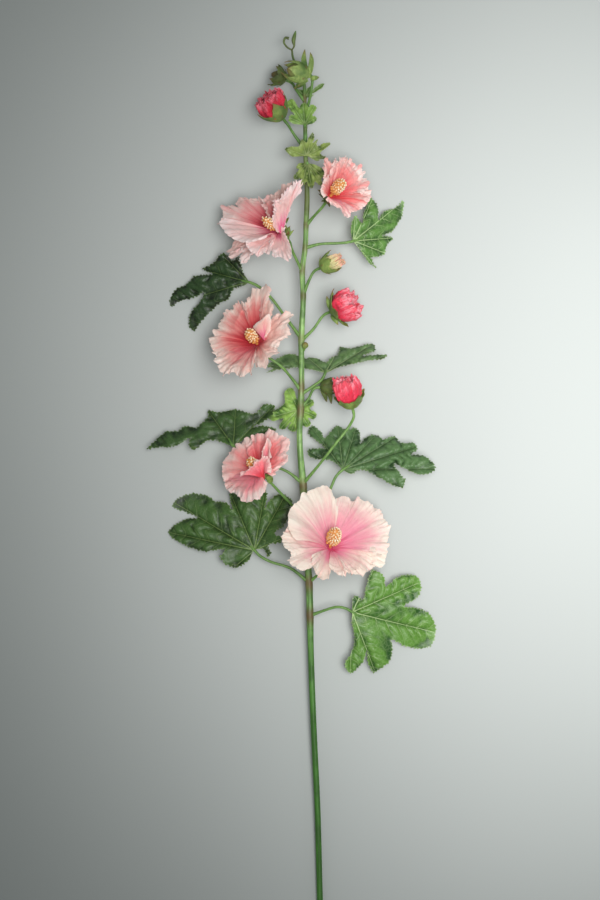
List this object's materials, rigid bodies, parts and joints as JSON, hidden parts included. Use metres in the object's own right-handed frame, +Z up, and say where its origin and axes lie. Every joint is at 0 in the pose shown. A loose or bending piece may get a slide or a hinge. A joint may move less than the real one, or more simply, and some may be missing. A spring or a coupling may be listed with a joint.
{
  "type": "flower stem",
  "caption": "Cut hollyhock stem lying on a surface, with pink open flowers, red buds and lobed green leaves.",
  "frame": {"origin": "middle of the stem's outline seen from above, on the surface that it lies on", "axes": "+Y along the stem from its cut end to its tip, +Z up, the way the flowers look, +X to the right"},
  "size_m": [0.3055, 0.9527, 0.1058],
  "materials": {
    "stem": "satin",
    "leaf": "satin",
    "young_leaf": "satin",
    "calyx": "satin",
    "petal": "matte",
    "bud_petal": "matte",
    "anthers": "matte"
  },
  "bodies": {
    "root": {"main_stem": "stem", "leaf_low_right": "leaf", "leaf_low_left": "leaf", "leaf_mid_right": "leaf", "leaf_mid_left": "leaf", "leaf_arched": "leaf", "leaf_high_left": "leaf", "leaf_high_right": "leaf", "young_leaf_mid": "young_leaf", "young_leaf_high": "young_leaf", "bract_star": "young_leaf", "bract_hanging": "young_leaf", "bract_top": "young_leaf", "flower_low_petals": "petal", "flower_low_column": "anthers", "flower_low_calyx": "calyx", "flower_left_low_petals": "petal", "flower_left_low_column": "anthers", "flower_left_low_calyx": "calyx", "flower_left_mid_petals": "petal", "flower_left_mid_column": "anthers", "flower_left_mid_calyx": "calyx", "flower_left_high_petals": "petal", "flower_left_high_column": "anthers", "flower_left_high_calyx": "calyx", "flower_right_high_petals": "petal", "flower_right_high_column": "anthers", "flower_right_high_calyx": "calyx", "bud_red_low_calyx": "calyx", "bud_red_low_petals": "bud_petal", "bud_pink_mid_calyx": "calyx", "bud_pink_mid_petals": "bud_petal", "bud_red_high_calyx": "calyx", "bud_red_high_petals": "bud_petal", "bud_green_right_calyx": "calyx", "bud_green_right_petals": "bud_petal", "bud_green_low_calyx": "calyx", "bud_green_top_calyx": "calyx", "bud_brown_top_calyx": "calyx", "bud_round_calyx": "calyx"}
  },
  "joints": []
}
